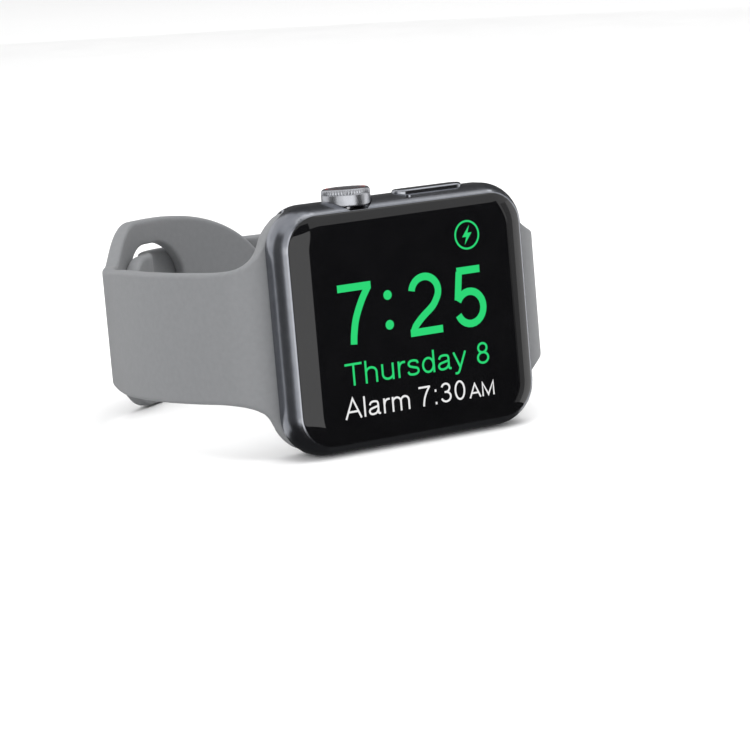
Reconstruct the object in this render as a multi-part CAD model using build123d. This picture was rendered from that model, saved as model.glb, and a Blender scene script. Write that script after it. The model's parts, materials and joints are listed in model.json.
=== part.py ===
"""A rectangular smartwatch on a closed, pin-and-tuck rubber strap, standing on its lower long side.

It is modelled in the watch's own axes, in millimetres: X runs along the strap (the long strap leaves
on +X, the short one on -X), Y runs from the glass towards the wrist, and Z runs up to the crown side.
Y = 0 is the case's widest plane. At the end every piece is leaned back a little and moved so that the
watch stands on Z = 0, on its case and its strap, with the origin under the middle of its box.
"""
from build123d import *
import math
import os

# Case
CASE_LENGTH = 42.5
CASE_WIDTH = 36.4
CORNER_R = 6.5
FRONT_EDGE_R = 4.2
BACK_EDGE_R = 2.8
FRONT_Y = -FRONT_EDGE_R
BACK_Y = 4.4
RIM_Y = -3.12
GLASS_SEAM = 0.1
RIM_CHAMFER = 0.12
POCKET = (38.2, 32.2, 4.6)
POCKET_FLOOR_Y = -0.4
CAVITY = (31.8, 31.0, 3.0)
CAVITY_FLOOR_Y = 3.0

# Back cover and sensor dome
BACK_COVER_R = 14.0
BACK_SPIGOT_R = 13.15
LEDGE_Y = 3.6
DOME_R = 10.2
DOME_HEIGHT = 1.85
CRYSTAL_R = 10.6
CRYSTAL_Y = 3.2

# Crown, along Z
CROWN_X = -7.5
CROWN_Y = 0.3
CROWN_R = 3.6
CROWN_TOP = 19.9
CROWN_BOTTOM = 17.25
CROWN_RECESS_Z = 16.75
CROWN_TRAVEL = 0.35
CROWN_TEETH = 52
TOOTH_DEPTH = 0.16
CROWN_BORE_R = 1.7
KNURL_BOTTOM, KNURL_TOP = 18.55, 19.5
DISH_OUTER_R, DISH_INNER_R, DISH_DEPTH = 2.95, 2.65, 0.25
SHAFT_R = 1.0
SHAFT_END = 11.6

# Side button, along Z
BUTTON_X = 6.1
BUTTON_LENGTH = 11.6
BUTTON_WIDTH = 2.9
BUTTON_TOP = 18.7
BUTTON_BOTTOM = 17.0
BUTTON_PIN_GAP = 7.2

# Sound openings; the lower ones are in the side's flat band, clear of the edge the watch rests on
LOWER_Y = 0.8
SPEAKER_X = (1.5, 8.0)
SPEAKER_SLOT = (5.2, 0.9)
MIC_X, MIC_Y = 1.6, -2.15
LOWER_MIC_X = -6.0

# Motor that taps the wrist, as limits in X, Y and Z
HAPTIC = ((4.2, 10.2), (-1.6, 1.25), (-10.4, 12.2))
HAPTIC_WALL = 0.35

# Band
STRAP_WIDTH = 19.1
STRAP_T = 2.2
TAIL_WIDTH = 18.7
STRAP_GAP = 0.15
ROOT_R, ROOT_TURN = 5.2, 63.0
SIDE_R, SIDE_TURN = 43.0, 37.0
BEND_R, BEND_TURN = 31.0, 57.0
END_R, END_TURN = 34.0, 40.0
LONG_SIDE_R, LONG_SIDE_TURN = 62.0, 27.0
DIP_R = 9.0
DIP_START_X = -8.8
TAIL_TURN = 14.0
LUG_X = 18.5
LUG_Y = 2.0
ROOT = (LUG_X, LUG_Y)
NECK = CASE_LENGTH / 2 - LUG_X
CHANNEL_R = 1.4
MOUTH = 2.3
RUN_CLEARANCE = 0.07
FLARE = (43.8, 35.2, 6.8)
FLARE_FILLET = 6.5
FLARE_INNER_X = 16.9
WAIST_Y0, WAIST_Y1, WAIST_HALF = 28.0, 38.0, 9.0
SPREAD_Y0, SPREAD_Y1, WIDEST_HALF = 43.6, 51.9, 14.7
SHORT_END_X = 10.0
SHORT_END_SHOULDER = (2.0, 12.0)
SLOT_X = -14.0
SLOT_ALONG, SLOT_ACROSS, SLOT_R = 15.6, 21.6, 6.5
STUD_X = 4.0
STUD_R = 1.5
STUD_HEAD_R, STUD_HEAD_T = 2.7, 1.0
WASHER_R = 3.2
CORE_R, CORE_LENGTH = 0.7, 10.5
HOLE_PITCH = 7.0
HOLES_BEFORE, HOLES_AFTER = 2, 4

# Release button and latch, one pair at each end
RELEASE_X = 18.3
RELEASE_LENGTH, RELEASE_WIDTH = 5.6, 1.8
RELEASE_TRAVEL = 0.4
LATCH_WIDTH, LATCH_LENGTH, LATCH_TOP = 0.9, 4.5, 3.7

CLEARANCE = 0.06
LEAN_STEPS = 16
LOW = (Align.CENTER, Align.CENTER, Align.MIN)


# ---- shape helpers ----------------------------------------------------------------------------

def plate(sketch, y0, y1):
    """A sketch drawn in X and Z, made solid from Y = y0 to y1."""
    plane = Plane(origin=(0, y1, 0), x_dir=(1, 0, 0), z_dir=(0, -1, 0))
    return extrude(plane * sketch, amount=y1 - y0)


def slab(size, y0, y1):
    length, width, radius = size
    return plate(RectangleRounded(length, width, radius), y0, y1)


def block(x, y, z):
    """A box from pairs of limits."""
    size = [high - low for low, high in (x, y, z)]
    centre = [(high + low) / 2 for low, high in (x, y, z)]
    return Pos(*centre) * Box(*size)


def disc(radius, y0, y1, x=0.0, z=0.0):
    return plate(Pos(x, z) * Circle(radius), y0, y1)


def ring(outer, inner, y0, y1):
    return plate(Circle(outer) - Circle(inner), y0, y1)


def upright(radius, z0, z1, x, y):
    """A cylinder along Z."""
    return Pos(x, y, z0) * Cylinder(radius, z1 - z0, align=LOW)


def pill_up(length, width, z0, z1, x, y=0.0):
    """A round-ended bar seen from +Z, long in X."""
    return extrude(Pos(x, y, z0) * SlotOverall(length, width), amount=z1 - z0)


def pill_back(length, width, y0, y1, x):
    """A round-ended bar seen from +Y, long in Z."""
    return plate(Pos(x, 0) * Rot(Z=90) * SlotOverall(length, width), y0, y1)


# ---- strap paths: tangent arcs in the XY plane --------------------------------------------------

def left_of(heading):
    return Vector(-math.sin(heading), math.cos(heading))


def walk(start, heading, legs):
    """Legs of (radius, turn in degrees; left is positive), or (length, 0) for a straight run.
    Gives (point, heading, radius, turn) for the start of each leg, then the end point."""
    point, angle, out = Vector(*start), math.radians(heading), []
    for radius, turn in legs:
        out.append((point, angle, radius, turn))
        point, angle = advance(point, angle, radius, turn, 1.0)
    out.append((point, angle, 0, 0))
    return out


def advance(point, angle, radius, turn, share):
    """Where a leg has got to after that share of it."""
    if turn == 0:
        return point + Vector(math.cos(angle), math.sin(angle)) * (radius * share), angle
    side = math.copysign(1.0, turn)
    centre = point + left_of(angle) * (side * radius)
    new_angle = angle + math.radians(turn) * share
    return centre - left_of(new_angle) * (side * radius), new_angle


def offset_edge(leg, offset):
    """One leg's edge, moved to its left by offset."""
    point, angle, radius, turn = leg
    if turn == 0:
        end, _ = advance(point, angle, radius, 0, 1.0)
        shift = left_of(angle) * offset
        return Line(tuple(point + shift), tuple(end + shift))
    side = math.copysign(1.0, turn)
    centre = point + left_of(angle) * (side * radius)
    return CenterArc(tuple(centre), radius - side * offset, math.degrees(angle) - 90 * side, turn)


def ribbon(path, low, high):
    """The strip between two offsets of a path, as a face in the XY plane."""
    legs = path[:-1]
    edges = [offset_edge(leg, low) for leg in legs] + [offset_edge(leg, high) for leg in legs]
    for point, angle, _, _ in (path[0], path[-1]):
        side = left_of(angle)
        edges.append(Line(tuple(point + side * low), tuple(point + side * high)))
    return make_face(edges)


def station(path, leg_number, x):
    """The point and heading on one arc of a path where it crosses X = x, on the wrist side."""
    point, angle, radius, turn = path[leg_number]
    side = math.copysign(1.0, turn)
    centre = point + left_of(angle) * (side * radius)
    heading = (0 if side < 0 else math.pi) - math.asin((x - centre.X) / radius)
    return centre - left_of(heading) * (side * radius), heading


def circles_meet(c1, r1, c2, r2):
    """Both points where two circles cross."""
    gap = c2 - c1
    distance = gap.length
    along = (r1 * r1 - r2 * r2 + distance * distance) / (2 * distance)
    unit = gap * (1 / distance)
    across = Vector(-unit.Y, unit.X) * math.sqrt(r1 * r1 - along * along)
    return c1 + unit * along + across, c1 + unit * along - across


def turn_between(a, b, centre):
    """Degrees turned anticlockwise about centre from a to b."""
    start = math.atan2(a.Y - centre.Y, a.X - centre.X)
    end = math.atan2(b.Y - centre.Y, b.X - centre.X)
    return math.degrees((end - start) % (2 * math.pi))


def short_path():
    """From the lug at -X, clockwise round the wrist side, to just past the stud."""
    arcs = [(ROOT_R, ROOT_TURN), (SIDE_R, SIDE_TURN), (BEND_R, BEND_TURN), (END_R, END_TURN)]
    return walk((-ROOT[0], ROOT[1]), 180, [(NECK, 0)] + [(radius, -turn) for radius, turn in arcs])


SHORT = short_path()
BEND_CENTRE = SHORT[3][0] - left_of(SHORT[3][1]) * BEND_R
END_CENTRE = SHORT[4][0] - left_of(SHORT[4][1]) * END_R


def long_path():
    """From the lug at +X, anticlockwise outside the short strap, then through its slot to the inside."""
    lift = STRAP_T + STRAP_GAP
    outer, inner = END_R + lift, BEND_R - lift
    legs = [(NECK, 0), (ROOT_R, ROOT_TURN), (LONG_SIDE_R, LONG_SIDE_TURN)]
    point, heading, _, _ = walk(ROOT, 0, legs)[-1]
    inward = left_of(heading)
    away = point - END_CENTRE
    bend = (outer ** 2 - away.dot(away)) / (2 * (away.dot(inward) + outer))
    bend_centre = point + inward * bend
    meet = END_CENTRE + (bend_centre - END_CENTRE).normalized() * outer
    legs.append((bend, turn_between(point, meet, bend_centre)))
    height = math.sqrt(outer ** 2 - (DIP_START_X - END_CENTRE.X) ** 2)
    dip = Vector(DIP_START_X, END_CENTRE.Y + height)
    legs.append((outer, turn_between(meet, dip, END_CENTRE)))
    first = END_CENTRE + (dip - END_CENTRE).normalized() * (outer - DIP_R)
    second = min(circles_meet(first, 2 * DIP_R, BEND_CENTRE, inner + DIP_R), key=lambda c: c.X)
    crossing = (first + second) * 0.5
    landing = BEND_CENTRE + (second - BEND_CENTRE).normalized() * inner
    legs.append((DIP_R, turn_between(dip, crossing, first)))
    legs.append((DIP_R, -turn_between(landing, crossing, second)))
    legs.append((inner, TAIL_TURN))
    return walk(ROOT, 0, legs)


LONG = long_path()


# ---- strap pieces ---------------------------------------------------------------------------------

def root_plan():
    """Seen along Y: the strap at -X, flaring into the lug that follows the case's end."""
    length, width, radius = FLARE
    corner = Vector(-length / 2 + radius, width / 2 - radius)
    half = STRAP_WIDTH / 2
    fillet_z = half + FLARE_FILLET
    reach = math.sqrt((radius + FLARE_FILLET) ** 2 - (fillet_z - corner.Y) ** 2)
    fillet_centre = Vector(corner.X - reach, fillet_z)
    slope = math.degrees(math.atan2(corner.Y - fillet_z, reach))
    top = corner.Y + math.sqrt(radius ** 2 - (FLARE_INNER_X + corner.X) ** 2)
    end_angle = math.degrees(math.atan2(top - corner.Y, -FLARE_INNER_X - corner.X))
    far = -CASE_LENGTH
    edges = [
        Line((far, 0), (far, half)),
        Line((far, half), (fillet_centre.X, half)),
        CenterArc(tuple(fillet_centre), FLARE_FILLET, -90, 90 + slope),
        CenterArc(tuple(corner), radius, 180 + slope, end_angle - 180 - slope),
        Line((-FLARE_INNER_X, top), (-FLARE_INNER_X, 0)),
        Line((-FLARE_INNER_X, 0), (far, 0)),
    ]
    return both_halves(make_face(edges))


def both_halves(upper):
    return upper + mirror(upper, about=Plane.XZ)


def short_spread():
    """The short strap's width beside the wrist, seen along X: a slight waist, then a quick widening."""
    half = STRAP_WIDTH / 2
    level = [(1, 0), (1, 0)]
    edges = [
        Spline((WAIST_Y0, half), (WAIST_Y1, WAIST_HALF), tangents=level),
        Line((WAIST_Y1, WAIST_HALF), (SPREAD_Y0, WAIST_HALF)),
        Spline((SPREAD_Y0, WAIST_HALF), (SPREAD_Y1, WIDEST_HALF), tangents=level),
        Line((SPREAD_Y1, WIDEST_HALF), (SPREAD_Y1, 0)),
        Line((SPREAD_Y1, 0), (WAIST_Y0, 0)),
        Line((WAIST_Y0, 0), (WAIST_Y0, half)),
    ]
    return extrude(Plane.YZ * both_halves(make_face(edges)), amount=-CASE_LENGTH)


def short_end_plan():
    """The short strap's round end past the slot and stud, seen along Y."""
    widest_x = BEND_CENTRE.X - math.sqrt(BEND_R ** 2 - (SPREAD_Y1 - BEND_CENTRE.Y) ** 2)
    round_end = Spline(
        (widest_x, WIDEST_HALF), SHORT_END_SHOULDER, (SHORT_END_X, 0), tangents=[(1, 0), (0, -1)],
    )
    edges = [round_end, Line((SHORT_END_X, 0), (-CASE_LENGTH, 0)),
             Line((-CASE_LENGTH, 0), (-CASE_LENGTH, WIDEST_HALF)),
             Line((-CASE_LENGTH, WIDEST_HALF), (widest_x, WIDEST_HALF))]
    return both_halves(make_face(edges))


def tail_plan():
    """The long strap's far part, seen along Y: it narrows a little and has a round tip."""
    wide, half = STRAP_WIDTH / 2, TAIL_WIDTH / 2
    tip = LONG[-1][0].X + half * 0.7
    full_x = LONG[3][0].X - STRAP_T
    edges = [Line((2 * CASE_LENGTH, wide), (full_x, wide)), Line((full_x, wide), (0, half)),
             Line((0, half), (tip, half)), Line((tip, half), (tip, 0)), Line((tip, 0), (2 * CASE_LENGTH, 0)),
             Line((2 * CASE_LENGTH, 0), (2 * CASE_LENGTH, wide))]
    return both_halves(make_face(edges)) + Pos(tip, 0) * Ellipse(half * 0.7, half)


def lug_bar(side):
    """The round bar along the lug that the case's channel holds."""
    length, width, radius = FLARE
    bar = upright(CHANNEL_R - RUN_CLEARANCE, -width / 2, width / 2, side * LUG_X, LUG_Y)
    return bar & slab((length, width, radius), -1, 6)


def lug_hollows(side):
    """What the rubber lug leaves free for its metal cores, latch and spring."""
    pocket = block(
        (side * LUG_X - LATCH_WIDTH / 2 - CLEARANCE, side * LUG_X + LATCH_WIDTH / 2 + CLEARANCE),
        (LUG_Y - 1.05, LUG_Y + 2),
        (-LATCH_LENGTH / 2 - CLEARANCE, LATCH_LENGTH / 2 + CLEARANCE),
    )
    return [pocket, lug_core(side)]


def lug_core(side):
    return [upright(CORE_R, z, z + CORE_LENGTH, side * LUG_X, LUG_Y) for z in (-14.0, 3.5)]


def cut_all(solid, tools):
    for tool in tools:
        for one in tool if isinstance(tool, list) else [tool]:
            solid = solid - one
    return solid


def across_strap(path_point, heading, sketch, reach=6.0):
    """A cutter through the strap, along its own normal: sketch X runs along the strap."""
    along = (math.cos(heading), math.sin(heading), 0)
    normal = left_of(heading)
    plane = Plane(origin=tuple(path_point), x_dir=along, z_dir=(normal.X, normal.Y, 0))
    return extrude(plane * sketch, amount=reach, both=True)


def strap_solid(path, plans):
    """The path's ribbon, as wide as the plan solids leave it."""
    half_t = STRAP_T / 2
    strip = extrude(ribbon(path, -half_t, half_t), amount=FLARE[1], both=True)
    pieces = [strip & plan for plan in plans]
    solid = pieces[0]
    for piece in pieces[1:]:
        solid = solid + piece
    return solid


def plain_run(y0, y1):
    half = STRAP_WIDTH / 2
    return block((-2 * CASE_LENGTH, 2 * CASE_LENGTH), (y0, y1), (-half, half))


def strap_short():
    plans = [plate(root_plan(), -3, 20), plain_run(20, WAIST_Y0), short_spread(),
             plate(short_end_plan(), SPREAD_Y1, 80)]
    solid = strap_solid(SHORT, plans) + lug_bar(-1)
    slot = across_strap(*station(SHORT, 3, SLOT_X), RectangleRounded(SLOT_ALONG, SLOT_ACROSS, SLOT_R))
    stud_hole = across_strap(*station(SHORT, 4, STUD_X), Circle(STUD_R))
    return cut_all(solid, [slot, stud_hole, stud_washer()] + lug_hollows(-1))


def strap_long():
    mirrored = mirror(root_plan(), about=Plane.YZ)
    turn_y = LONG[3][0].Y
    plans = [plate(mirrored, -3, 20), plain_run(20, turn_y), plate(tail_plan(), turn_y, 80)]
    solid = strap_solid(LONG, plans) + lug_bar(1)
    holes = [across_strap(*spot, Circle(STUD_R + CLEARANCE)) for spot in strap_holes()]
    return cut_all(solid, holes + lug_hollows(1))


def strap_holes():
    """The long strap's holes, one pitch apart; the stud is in one of them."""
    stud = station(SHORT, 4, STUD_X)[0] - END_CENTRE
    angle = math.atan2(stud.Y, stud.X)
    return [along_long(angle, number * HOLE_PITCH) for number in range(-HOLES_BEFORE, HOLES_AFTER + 1)]


def along_long(angle, distance):
    """A spot on the long strap, a distance towards +X from the stud's hole."""
    bend, radius = LONG[3], LONG[4][2]
    start = LONG[4][0] - END_CENTRE
    room = (angle - math.atan2(start.Y, start.X)) * radius
    if distance <= room:
        turned = angle - distance / radius
        return END_CENTRE + Vector(math.cos(turned), math.sin(turned)) * radius, turned + math.pi / 2
    share = 1 - (distance - room) / (bend[2] * math.radians(bend[3]))
    return advance(*bend, share)


def stud_plane():
    """On the short strap's middle, facing out of the loop."""
    point, heading = station(SHORT, 4, STUD_X)
    out = left_of(heading)
    return Plane(origin=tuple(point), z_dir=(out.X, out.Y, 0))


def closure_stud():
    """The metal stud: its neck goes through both straps, and its head holds the long one."""
    plane = stud_plane()
    half_t = STRAP_T / 2
    head_low = 3 * half_t + STRAP_GAP + 0.08
    neck = extrude(plane.offset(-half_t) * Circle(STUD_R), amount=STRAP_T)
    upper = extrude(plane.offset(half_t) * Circle(STUD_R - 0.02), amount=head_low - half_t)
    head = extrude(plane.offset(head_low) * Circle(STUD_HEAD_R), amount=STUD_HEAD_T)
    head = fillet(head.edges().sort_by(Axis((0, 0, 0), tuple(plane.z_dir)))[-1], 0.6)
    return neck + upper + head


def stud_washer():
    """The flat disc sunk into the short strap's inner face that the stud is riveted to."""
    return extrude(stud_plane().offset(-STRAP_T / 2 - 0.3) * Circle(WASHER_R), amount=0.7) - closure_stud()


# ---- case pieces ------------------------------------------------------------------------------------

def hull():
    """The outside of the case and glass together: one rounded block."""
    solid = slab((CASE_LENGTH, CASE_WIDTH, CORNER_R), FRONT_Y, BACK_Y)
    faces = solid.faces().sort_by(Axis.Y)
    solid = fillet(faces[-1].edges(), BACK_EDGE_R)
    return fillet(solid.faces().sort_by(Axis.Y)[0].edges(), FRONT_EDGE_R - 0.02)


HULL = hull()


def channel(side):
    """The groove along the case's end that a lug slides in, with its narrower mouth."""
    groove = upright(CHANNEL_R, -CASE_WIDTH, CASE_WIDTH, side * LUG_X, LUG_Y)
    edge = side * CASE_LENGTH
    mouth = block(sorted((side * LUG_X, edge)), (LUG_Y - MOUTH / 2, LUG_Y + MOUTH / 2),
                  (-CASE_WIDTH, CASE_WIDTH))
    latch_way = block((side * LUG_X - 0.6, side * LUG_X + 0.6), (LUG_Y, LATCH_TOP + 0.12),
                      (-LATCH_LENGTH / 2 - 0.15, CASE_WIDTH))
    return [groove, mouth, latch_way]


def side_openings():
    """Crown recess and bore, side button pocket, and the microphone and speaker openings."""
    pins = [upright(0.5, 15, 18, x, 0) for x in button_pins()]
    return [
        upright(CROWN_R + 0.12, CROWN_RECESS_Z, 21, CROWN_X, CROWN_Y),
        upright(CROWN_BORE_R, 15, 17, CROWN_X, CROWN_Y),
        pill_up(BUTTON_LENGTH + 0.14, BUTTON_WIDTH + 0.14, BUTTON_BOTTOM - 0.45, 20, BUTTON_X),
        pins,
        pill_up(1.1, 0.7, 15, 20, MIC_X, MIC_Y),
        [pill_up(*SPEAKER_SLOT, -20, -15, x, LOWER_Y) for x in SPEAKER_X],
        upright(0.45, -20, -15, LOWER_MIC_X, LOWER_Y),
    ]


def button_pins():
    return [BUTTON_X - BUTTON_PIN_GAP / 2, BUTTON_X + BUTTON_PIN_GAP / 2]


def case_shell():
    solid = HULL & block((-30, 30), (RIM_Y, 10), (-30, 30))
    rim = solid.faces().sort_by(Axis.Y)[0]
    solid = chamfer(rim.edges(), RIM_CHAMFER)
    tools = [
        slab(POCKET, RIM_Y - 1, POCKET_FLOOR_Y),
        slab(CAVITY, POCKET_FLOOR_Y - 0.1, CAVITY_FLOOR_Y),
        disc(BACK_SPIGOT_R + 0.05, CAVITY_FLOOR_Y - 0.1, LEDGE_Y + 0.1),
        disc(BACK_COVER_R + 0.05, LEDGE_Y, BACK_Y + 1),
    ]
    for side in (-1, 1):
        tools += channel(side)
        tools.append(pill_back(RELEASE_LENGTH + 0.1, RELEASE_WIDTH + 0.1, LUG_Y + 1.3, 6,
                               side * RELEASE_X))
    return cut_all(solid, tools + side_openings())


def cover_glass():
    return HULL & block((-30, 30), (-10, RIM_Y - GLASS_SEAM), (-30, 30))


def glass_gasket():
    outer = RectangleRounded(POCKET[0] + 1.1, POCKET[1] + 1.1, POCKET[2] + 0.5)
    inner = RectangleRounded(*POCKET)
    return plate(outer - inner, RIM_Y - GLASS_SEAM, RIM_Y)


def display_panel():
    return slab((POCKET[0] - 0.6, POCKET[1] - 0.6, POCKET[2] - 0.3), RIM_Y - GLASS_SEAM, -1.9)


def display_flex():
    ribbon_part = block((15.3, 15.5), (-1.9, 1.95), (-3, 3))
    return ribbon_part + block((14.4, 15.5), (1.75, 1.95), (-3, 3))


def back_cover():
    body = disc(BACK_COVER_R, LEDGE_Y + 0.05, BACK_Y + 0.05)
    body = chamfer(body.faces().sort_by(Axis.Y)[-1].edges(), 0.2)
    body = body + disc(BACK_SPIGOT_R, CAVITY_FLOOR_Y, LEDGE_Y + 0.06)
    return body - disc(CRYSTAL_R, 0, 10)


def back_cover_gasket():
    return ring(BACK_COVER_R - 0.1, BACK_SPIGOT_R + 0.08, LEDGE_Y, LEDGE_Y + 0.05)


def back_crystal():
    """The clear sensor dome that touches the skin, recessed inside for the coil and optics."""
    dome_y = BACK_Y + 0.05
    sphere_r = (DOME_R ** 2 + DOME_HEIGHT ** 2) / (2 * DOME_HEIGHT)
    ball = Pos(0, dome_y + DOME_HEIGHT - sphere_r, 0) * Sphere(sphere_r)
    dome = ball & disc(DOME_R, dome_y - 0.01, dome_y + 3)
    return disc(CRYSTAL_R, CRYSTAL_Y, dome_y) + dome - disc(9.4, 2, 3.9)


def sensor_spots():
    return [(4.2 * math.cos(math.radians(a)), 4.2 * math.sin(math.radians(a))) for a in (45, 135, 225, 315)]


def sensor_windows():
    return [disc(1.7, CRYSTAL_Y, 3.9, x, z) for x, z in sensor_spots()]


def sensor_board():
    return disc(6.2, 2.62, CRYSTAL_Y)


def charging_coil():
    return ring(9.2, 6.7, CRYSTAL_Y, 3.85)


def charging_magnet():
    return disc(1.6, CRYSTAL_Y, 3.85)


def battery():
    cell = block((-14.8, 3.2), (-1.6, 1.2), (-10.8, 9.4))
    return fillet(cell.edges().filter_by(Axis.Y), 0.8)


def logic_board():
    return slab((30.2, 29.6, 2.0), 1.95, 2.5)


def processor_module():
    return [block((-12, 2), (1.32, 1.95), (-9, 8)), block((11.2, 14.2), (-1.0, 1.95), (-8, 6))]


def board_screws():
    spots = [(-13.6, -13.2), (13.6, -13.2), (-13.6, 13.2), (13.6, 13.2)]
    return [disc(0.75, 1.5, 1.95, x, z) + disc(0.4, 1.9, 1.95, x, z) for x, z in spots]


def haptic_housing():
    inside = [(low + HAPTIC_WALL, high - HAPTIC_WALL) for low, high in HAPTIC]
    return block(*HAPTIC) - block(*inside)


def haptic_mass():
    gap = HAPTIC_WALL + 0.1
    inside = [(low + gap, high - gap) for low, high in HAPTIC[:2]]
    return block(*inside, (-8.6, 10.4))


def speaker_module():
    body = block((-1.4, 11.0), (-1.6, 1.3), (-15.3, -11.2))
    return fillet(body.edges().filter_by(Axis.Y), 0.6)


def speaker_mesh():
    return [pill_up(*SPEAKER_SLOT, -16.9, -16.7, x, LOWER_Y) for x in SPEAKER_X]


def microphones():
    lower = block((LOWER_MIC_X - 1.6, LOWER_MIC_X + 1.6), (-0.8, 1.2), (-15.3, -13.9))
    upper = block((MIC_X - 1.2, MIC_X + 1.2), (-1.85, -0.9), (14.3, 15.4))
    return [lower, upper]


# ---- crown and side button -----------------------------------------------------------------------------

def ring_up(outer, inner, z0, z1):
    """A ring round the crown's own axis."""
    return upright(outer, z0, z1, CROWN_X, CROWN_Y) - upright(inner, z0, z1, CROWN_X, CROWN_Y)


def crown_bushing():
    return ring_up(CROWN_BORE_R, SHAFT_R + CLEARANCE, 15.5, CROWN_RECESS_Z)


def crown_gasket():
    return ring_up(CROWN_BORE_R - 0.05, SHAFT_R + CLEARANCE, CROWN_RECESS_Z, CROWN_RECESS_Z + 0.08)


def crown_switch():
    base = block((CROWN_X - 1.5, CROWN_X + 1.5), (CROWN_Y - 1.2, CROWN_Y + 1.2), (9.7, 10.4))
    return base + upright(0.8, 10.4, 10.75, CROWN_X, CROWN_Y)


def crown_sensor():
    return block((CROWN_X + 1.7, CROWN_X + 2.7), (CROWN_Y - 1, CROWN_Y + 1), (13.0, 15.0))


def crown_carrier():
    """The plate and collar that carry the crown's inner end when it is pressed."""
    plate_part = block((CROWN_X - 1.7, CROWN_X + 1.7), (CROWN_Y - 1.2, CROWN_Y + 1.2), (11.2, 11.5))
    collar = upright(1.5, 11.45, 12.4, CROWN_X, CROWN_Y)
    return plate_part + collar - upright(SHAFT_R + CLEARANCE, 11.5, 13, CROWN_X, CROWN_Y)


def crown_teeth():
    points = []
    for number in range(2 * CROWN_TEETH):
        radius = CROWN_R - (TOOTH_DEPTH if number % 2 else 0)
        angle = math.pi * number / CROWN_TEETH
        points.append((radius * math.cos(angle), radius * math.sin(angle)))
    return make_face(Polyline(*points, close=True))


def crown_cap():
    """A polished barrel with a knurled band near its top and a shallow dish for the ring."""
    barrel = upright(CROWN_R - 0.05, CROWN_BOTTOM, CROWN_TOP, CROWN_X, CROWN_Y)
    barrel = chamfer(barrel.edges().group_by(Axis.Z)[-1], 0.25)
    barrel = fillet(barrel.edges().group_by(Axis.Z)[0], 0.15)
    band = extrude(Pos(CROWN_X, CROWN_Y, KNURL_BOTTOM) * crown_teeth(), amount=KNURL_TOP - KNURL_BOTTOM)
    groove = ring_up(DISH_OUTER_R, DISH_INNER_R, CROWN_TOP - DISH_DEPTH, CROWN_TOP + 1)
    return barrel + band - groove - upright(SHAFT_R, 17, CROWN_BOTTOM + 1.2, CROWN_X, CROWN_Y)


def crown_end_ring():
    return ring_up(DISH_OUTER_R, DISH_INNER_R, CROWN_TOP - DISH_DEPTH, CROWN_TOP - 0.02)


def crown_shaft():
    return upright(SHAFT_R, SHAFT_END, CROWN_BOTTOM + 1.2, CROWN_X, CROWN_Y)


def crown_clip():
    return ring_up(1.55, SHAFT_R, 15.05, 15.35)


def crown_encoder_drum():
    return ring_up(1.5, SHAFT_R, 13.2, 14.8)


def side_button():
    body = pill_up(BUTTON_LENGTH, BUTTON_WIDTH, BUTTON_BOTTOM, BUTTON_TOP, BUTTON_X)
    return fillet(body.faces().sort_by(Axis.Z)[-1].edges(), 0.45)


def side_button_pins():
    return [upright(0.45, 15.1, BUTTON_BOTTOM, x, 0) for x in button_pins()]


def side_button_switch():
    return block((1.6, 10.6), (-0.85, 1.0), (14.0, 14.65))


def side_button_bracket():
    return block((1.2, 11.0), (-0.85, 1.2), (13.3, 14.0))


# ---- release buttons and latches ------------------------------------------------------------------------

def release_button(side):
    head = pill_back(RELEASE_LENGTH, RELEASE_WIDTH, 3.9, 4.25, side * RELEASE_X)
    half = LATCH_WIDTH / 2 - 0.05
    stem = block((side * LUG_X - half, side * LUG_X + half), (LATCH_TOP + 0.05, 3.95),
                 (-LATCH_LENGTH / 2 + 0.1, LATCH_LENGTH / 2 - 0.1))
    return head + stem


def latch(side):
    half = LATCH_WIDTH / 2
    return block((side * LUG_X - half, side * LUG_X + half), (1.65, LATCH_TOP),
                 (-LATCH_LENGTH / 2, LATCH_LENGTH / 2))


def latch_spring(side):
    half = LATCH_WIDTH / 2
    return block((side * LUG_X - half, side * LUG_X + half), (0.97, 1.17),
                 (-LATCH_LENGTH / 2, LATCH_LENGTH / 2))


# ---- the whole watch -------------------------------------------------------------------------------------

def nodes():
    """Every node, in the watch's own axes: name to a solid or a list of solids."""
    makers = [
        case_shell, cover_glass, glass_gasket, display_panel, display_flex, back_cover, back_cover_gasket,
        back_crystal, sensor_windows, sensor_board, charging_coil, charging_magnet, battery, logic_board,
        processor_module, board_screws, haptic_housing, haptic_mass, speaker_module, speaker_mesh,
        microphones, crown_bushing, crown_gasket, crown_switch, crown_sensor, crown_carrier, crown_cap,
        crown_end_ring, crown_shaft, crown_clip, crown_encoder_drum, side_button, side_button_pins,
        side_button_switch, side_button_bracket, strap_short, strap_long, closure_stud, stud_washer,
    ]
    made = {maker.__name__: maker() for maker in makers}
    for name, side in (("short", -1), ("long", 1)):
        made["release_button_" + name] = release_button(side)
        made["latch_" + name] = latch(side)
        made["latch_spring_" + name] = latch_spring(side)
        made["lug_core_" + name] = lug_core(side)
    return made


def lowest(shape, lean):
    return (Rot(X=-lean) * shape).bounding_box().min.Z


def lean_angle(case, strap):
    """How far the watch leans back when the case's lower side and the strap's widest part both rest
    on the ground: the lean that brings their lowest points level."""
    low, high = 0.0, 10.0
    for _ in range(LEAN_STEPS):
        middle = (low + high) / 2
        if lowest(strap, middle) > lowest(case, middle):
            low = middle
        else:
            high = middle
    return (low + high) / 2


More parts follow.
